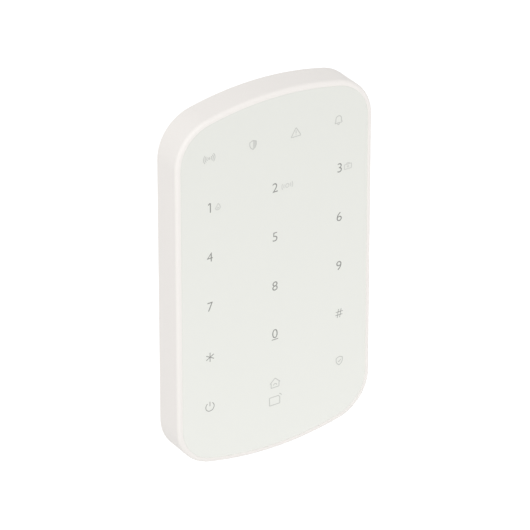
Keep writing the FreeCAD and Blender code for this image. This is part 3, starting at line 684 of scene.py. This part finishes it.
def sealMesh(outline, face, sizes):
    # closed bead along the outline: over the bevel, across to the rim and down into the seam
    inner, outer = sizes["slack"], sizes["gap"] - sizes["slack"]
    profile = [(inner - sizes["bevel"] + sizes["under"], sizes["under"]), (outer, sizes["under"]),
               (outer, sizes["deep"]), (inner, sizes["deep"]), (inner, sizes["bevel"])]
    shape = bmesh.new()
    loops = []
    for out, depth in profile:
        loop = []
        for order, corner in enumerate(outline):
            before, after = outline[order - 1], outline[(order + 1) % len(outline)]
            outward = Vector((after[1] - before[1], before[0] - after[0])).normalized() * out
            loop.append(shape.verts.new((corner[0] + outward.x, face + depth, corner[1] + outward.y)))
        loops.append(loop)
    for near, far in zip(loops, loops[1:] + loops[:1]):
        for order in range(len(outline)):
            after = (order + 1) % len(outline)
            shape.faces.new((near[order], near[after], far[after], far[order]))
    bmesh.ops.recalc_face_normals(shape, faces=shape.faces)
    mesh = bpy.data.meshes.new("seal")
    shape.to_mesh(mesh)
    shape.free()
    return mesh


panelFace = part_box("glass_panel")[0].y
panelEdge = outlineOf("glass_panel", panelFace + sealSizes["bevel"])
stand(sealMesh(panelEdge, panelFace, sealSizes), "panelSeal", "sealBead", "keypad")
print("seal done")


signs = {
    "columns": (-32.4 * mm, 0, 32.4 * mm),
    "rows": (41.2 * mm, 17.8 * mm, -5.9 * mm, -29.7 * mm),
    "digitTall": 4.6 * mm,
    "zeroLift": 0.6 * mm,   # the 0 stands higher, over its bar
    "digitPen": 0.5 * mm,
    "iconPen": 0.38 * mm,
    "faintPen": 0.3 * mm,
    "helperPen": 0.4 * mm,
    "starPen": 0.34 * mm,
    "hashPen": 0.26 * mm,
    "inkThick": 0.03 * mm,
    "inkStep": 0.003 * mm,   # each further stroke lies this much lower, so that crossings don't coincide
    "cornerTurn": 0.25 * mm,
}
inkPlane = panelFace - 0.5 * signs["inkThick"]   # the ink lies on the panel's face
upright = Matrix.Translation((0, inkPlane, 0)) @ standUp


def inkTree(sizes):
    # ribbon of ink along every stroke, flat in the XY plane
    tree = GeoTree("inkStroke", **sizes)
    curves = tree.add("GeometryNodeMeshToCurve", {"Mesh": tree.size("Geometry")})
    soft = tree.add("GeometryNodeFilletCurve", {"Curve": curves, "Radius": tree.size("Turn"),
                                               "Limit Radius": True, "Count": 4}, mode="POLY")
    level = tree.add("GeometryNodeSetCurveNormal", {"Curve": soft}, mode="Z_UP")
    nib = tree.add("GeometryNodeCurvePrimitiveQuadrilateral",
                   {"Width": tree.size("Pen"), "Height": tree.size("Thick")})
    ribbon = tree.add("GeometryNodeCurveToMesh", {"Curve": level, "Profile Curve": nib, "Fill Caps": True})
    tree.close(ribbon, "signInk")
    return tree


def arc(x, y, radius, start, end, steps=14):
    points = []
    for step in range(steps + 1):
        turn = math.radians(start + (end - start) * step / steps)
        points.append((x + radius * math.cos(turn), y + radius * math.sin(turn)))
    return points


def ring(x, y, radius, steps=24):
    return arc(x, y, radius, 0, 360 - 360 / steps, steps - 1) + ["closed"]


def waves(reaches, spread, steps=14):
    # arcs on both sides of the middle
    return [arc(0, 0, reach, side - spread, side + spread, steps) for reach in reaches for side in (0, 180)]


def strokesMesh(strokes, x, z):
    # every stroke as a chain of edges, in millimetres round its own centre
    mesh = bpy.data.meshes.new("strokes")
    points, edges = [], []
    for order, stroke in enumerate(strokes):
        level = -order * signs["inkStep"]
        closed = stroke[-1] == "closed"
        spots = stroke[:-1] if closed else stroke
        first = len(points)
        points += [(x + px * mm, z + py * mm, level) for px, py in spots]
        edges += [(first + i, first + i + 1) for i in range(len(spots) - 1)]
        if closed:
            edges.append((len(points) - 1, first))
    mesh.from_pydata(points, edges, [])
    return mesh


# the signs' drawings, in millimetres round their own middles
shieldHalf = [(0, -2.1), (1.05, -1.25), (1.6, -0.1), (1.6, 1.5), (0, 2.1)]
shieldLine = shieldHalf + [(-px, py) for px, py in reversed(shieldHalf[1:-1])] + ["closed"]
icons = {
    "radioWaves": [ring(0, 0, 0.35)] + waves((1.2, 2.0, 2.8), 42),
    "warning": [[(-2.5, -1.9), (2.5, -1.9), (0, 2.3), "closed"],
                [(0, 0.95), (0, -0.5)], [(0, -1.0), (0, -1.3)]],
    "bell": [[(-2.0, -1.3), (-1.4, -0.5), (-1.4, 0.6)] + arc(0, 0.6, 1.4, 165, 15, 8)
             + [(1.4, 0.6), (1.4, -0.5), (2.0, -1.3), "closed"], arc(0, -1.45, 0.6, 200, 340, 6)],
    "flame": [[(0.1, 1.6), (0.85, 0.45), (1.25, -0.55), (0.75, -1.35), (0, -1.5),
               (-0.75, -1.35), (-1.25, -0.55), (-0.55, 0.2), "closed"],
              [(-0.45, -0.95), (0.05, -0.25), (0.5, -0.95)]],
    "alert": [ring(0, 0, 0.85)] + waves((1.75, 2.7), 30, 8),
    "firstAid": [[(-1.8, -1.3), (1.8, -1.3), (1.8, 0.9), (-1.8, 0.9), "closed"],
                 [(-0.7, 0.9), (-0.7, 1.5), (0.7, 1.5), (0.7, 0.9)],
                 [(-0.6, -0.2), (0.6, -0.2)], [(0, -0.8), (0, 0.4)]],
    "star": [[(2.2 * math.cos(turn), 2.2 * math.sin(turn)), (-2.2 * math.cos(turn), -2.2 * math.sin(turn))]
             for turn in map(math.radians, (90, 30, 150))],
    "hash": [[(-0.25, 2.1), (-0.95, -2.1)], [(1.05, 2.1), (0.35, -2.1)], [(-1.7, 0.75), (1.9, 0.75)],
             [(-1.9, -0.75), (1.7, -0.75)]],
    "power": [arc(0, -0.1, 2.1, 125, 415, 28), [(0, 2.35), (0, 0.2)]],
    "home": [[(-2.6, -0.1), (0, 2.3), (2.6, -0.1)], [(-2.0, 0.1), (-2.0, -2.2), (2.0, -2.2), (2.0, 0.1)],
             arc(0, -1.2, 0.8, 0, 180, 8)],
    "shield": [shieldLine, [(-0.7, 0.05), (-0.15, -0.5), (0.8, 0.65)]],
    "halfShield": [shieldLine],
    "card": [[(-2.6, -1.95), (2.6, -1.95), (2.6, 1.2), (1.9, 1.95), (-2.6, 1.95), "closed"],
             arc(1.7, 1.1, 1.9, 20, 70, 6)],
    "one": [[(-0.75, 1.45), (0.3, 2.3), (0.3, -2.3)]],
    "underline": [[(-1.6, 0), (1.6, 0)]],
}


def patch(points, x, z):
    # a filled shape as a closed plate half as thick as the strokes, so that it ends under them
    shape = bmesh.new()
    half = 0.25 * signs["inkThick"]
    face = shape.faces.new([shape.verts.new((x + px * mm, z + py * mm, half)) for px, py in points])
    rear = bmesh.ops.extrude_face_region(shape, geom=[face])
    bmesh.ops.translate(shape, vec=(0, 0, -2 * half),
                        verts=[v for v in rear["geom"] if isinstance(v, bmesh.types.BMVert)])
    bmesh.ops.recalc_face_normals(shape, faces=shape.faces)
    mesh = bpy.data.meshes.new("patch")
    shape.to_mesh(mesh)
    shape.free()
    return mesh


def inked(name, pen, finish):
    # one printed piece from its signs, each at its place on the panel
    lines = [strokesMesh(icons[icon], x * mm, z * mm) for icon, (x, z) in signPlaces[name].items()]
    source = bpy.data.objects.new(name + "Lines", joined(lines))
    bpy.context.scene.collection.objects.link(source)
    sizes = {"Pen": signs[pen], "Thick": signs["inkThick"], "Turn": signs["cornerTurn"]}
    return stand(inkTree(sizes).grow(source, **sizes), name, finish, "keypad", upright)


signPlaces = {   # in millimetres from the panel's middle, as X and Z
    "statusSigns": {"radioWaves": (-32.4, 64.4), "halfShield": (-10.9, 64.5), "warning": (10.4, 64.3),
                    "bell": (31.7, 64.0)},
    "lowerSigns": {"home": (0.1, -53.3), "shield": (33.0, -52.9), "card": (-0.1, -62.1)},
    "powerSign": {"power": (-32.8, -54.4)},
    "helperSigns": {"flame": (-28.3, 40.7), "alert": (6.1, 40.5), "firstAid": (36.6, 40.9)},
    "starSign": {"star": (-32.6, -30.3)},
    "hashSign": {"hash": (32.7, -29.3)},
    "zeroBar": {"underline": (0.0, -31.9)},
    "oneFigure": {"one": (-32.3, 41.2)},
}
inked("statusSigns", "iconPen", "signInk")
fillX, fillZ = signPlaces["statusSigns"]["halfShield"]
stand(patch(shieldHalf, fillX * mm, fillZ * mm), "shieldFill", "faintInk", "keypad", upright)
inked("lowerSigns", "iconPen", "signInk")
inked("powerSign", "faintPen", "digitInk")
inked("helperSigns", "helperPen", "faintInk")
inked("starSign", "starPen", "digitInk")
inked("hashSign", "hashPen", "digitInk")
inked("zeroBar", "starPen", "digitInk")

letters = {
    "tallShare": 0.73,   # a figure's height over the size of the font
    "thinner": 0.012,    # how much the strokes are drawn in, as a share of the height
}


def digit(character, x, z):
    # one figure, centred on its place
    text = bpy.data.curves.new("figure", "FONT")
    text.body = character
    text.size = signs["digitTall"] / letters["tallShare"]
    text.extrude = 0.5 * signs["inkThick"]
    text.offset = -letters["thinner"] * signs["digitTall"]
    source = bpy.data.objects.new("figure", text)
    bpy.context.scene.collection.objects.link(source)
    mesh = plainMesh(source)
    xs = [v.co.x for v in mesh.vertices]
    ys = [v.co.y for v in mesh.vertices]
    mesh.transform(Matrix.Translation((x - 0.5 * (min(xs) + max(xs)), z - 0.5 * (min(ys) + max(ys)), 0)))
    return mesh


figures = []
for number in range(2, 10):
    row, column = divmod(number - 1, 3)
    figures.append(digit(str(number), signs["columns"][column], signs["rows"][row]))
figures.append(digit("0", signs["columns"][1], signs["rows"][3] + signs["zeroLift"]))
stand(joined(figures), "keyFigures", "digitInk", "keypad", upright)
inked("oneFigure", "digitPen", "digitInk")
print("printed signs done")


white = (1.0, 1.0, 1.0, 1.0)
floorSizes = {"drop": 0.62, "half": 6.0, "tone": 0.8, "glow": 0.6}
floorMesh = bpy.data.meshes.new("floor")
reach = floorSizes["half"]
level = cadLow.z - floorSizes["drop"]
floorMesh.from_pydata([(x * reach, y * reach, level) for x, y in ((-1, -1), (1, -1), (1, 1), (-1, 1))],
                      [], [(0, 1, 2, 3)])
floor = bpy.data.objects.new("floor", floorMesh)
bpy.context.scene.collection.objects.link(floor)


def seenDirectly(tree):
    # 1 for rays that show the background, 0 for rays that light the object
    rays = tree.nodes.new("ShaderNodeLightPath")
    camera = Wired(tree, rays.outputs["Is Camera Ray"])
    glossy = Wired(tree, rays.outputs["Is Glossy Ray"])
    through = Wired(tree, rays.outputs["Is Transmission Ray"])
    return camera.maths("MAXIMUM", camera, camera.maths("MAXIMUM", glossy, through))


floorLook = bpy.data.materials.new("paleFloor")
floorLook.use_nodes = True
floorTree = floorLook.node_tree
floorTree.nodes.remove(floorTree.nodes["Principled BSDF"])
shown = seenDirectly(floorTree)
matt = shown.node("ShaderNodeBsdfDiffuse", {"Color": 3 * (floorSizes["tone"],) + (1.0,)})
glow = shown.node("ShaderNodeEmission", {"Color": white, "Strength": shown * floorSizes["glow"]})
both = shown.node("ShaderNodeAddShader", {0: matt, 1: glow})
underneath = shown.node("ShaderNodeNewGeometry", output="Backfacing")   # nothing is hidden from below
clear = shown.node("ShaderNodeBsdfTransparent")
floorSkin = shown.node("ShaderNodeMixShader", {0: underneath, 1: both, 2: clear})
floorTree.links.new(floorSkin.socket, floorTree.nodes["Material Output"].inputs["Surface"])
floorMesh.materials.append(floorLook)

world = bpy.data.worlds.new("studio")
bpy.context.scene.world = world
world.use_nodes = True
worldTree = world.node_tree
shown = seenDirectly(worldTree)
ambient = 0.72   # of the white that shows behind the object
sky = worldTree.nodes["Background"]
worldTree.links.new((ambient + shown * (1 - ambient)).socket, sky.inputs["Strength"])
sky.inputs["Color"].default_value = white

centre = 0.5 * (cadLow + cadHigh)
lamps = {
    "keyLamp": {"from": (-1.12, -1.48, 0.98), "size": 2.0, "power": 17.0},
    "fillLamp": {"from": (0.75, -0.12, -0.85), "size": 0.7, "power": 8.0},
}
for name, facts in lamps.items():
    lamp = bpy.data.lights.new(name, "AREA")
    lamp.size = facts["size"]
    lamp.energy = facts["power"]
    holder = bpy.data.objects.new(name, lamp)
    holder.location = centre + Vector(facts["from"])
    holder.rotation_euler = (-Vector(facts["from"])).to_track_quat("-Z", "Y").to_euler()
    bpy.context.scene.collection.objects.link(holder)

bpy.context.scene.view_settings.view_transform = "Standard"

shot = {
    "lens": 339.7,             # on the 36 mm sensor: a long lens from two metres
    "azimuth": -33.05,         # from the left of straight ahead
    "elevation": 29.29,
    "distance": 2105.6 * mm,   # to the middle of the case's front
    "aside": 4.31 * mm,
    "lift": -3.79 * mm,
}
camera = bpy.data.objects.new("camera", bpy.data.cameras.new("camera"))
bpy.context.scene.collection.objects.link(camera)
camera.data.lens = shot["lens"]
camera.data.sensor_width = 36.0
across = math.radians(shot["azimuth"])
above = math.radians(shot["elevation"])
back = Vector((math.sin(across) * math.cos(above), -math.cos(across) * math.cos(above), math.sin(above)))
camera.rotation_mode = "QUATERNION"
camera.rotation_quaternion = (-back).to_track_quat("-Z", "Y")
right = camera.rotation_quaternion @ Vector((1, 0, 0))
up = camera.rotation_quaternion @ Vector((0, 1, 0))
aim = Vector((0, cadLow.y, 0))
camera.location = aim + back * shot["distance"] - right * shot["aside"] - up * shot["lift"]
bpy.context.scene.camera = camera
print("camera at", tuple(round(v, 4) for v in camera.location))
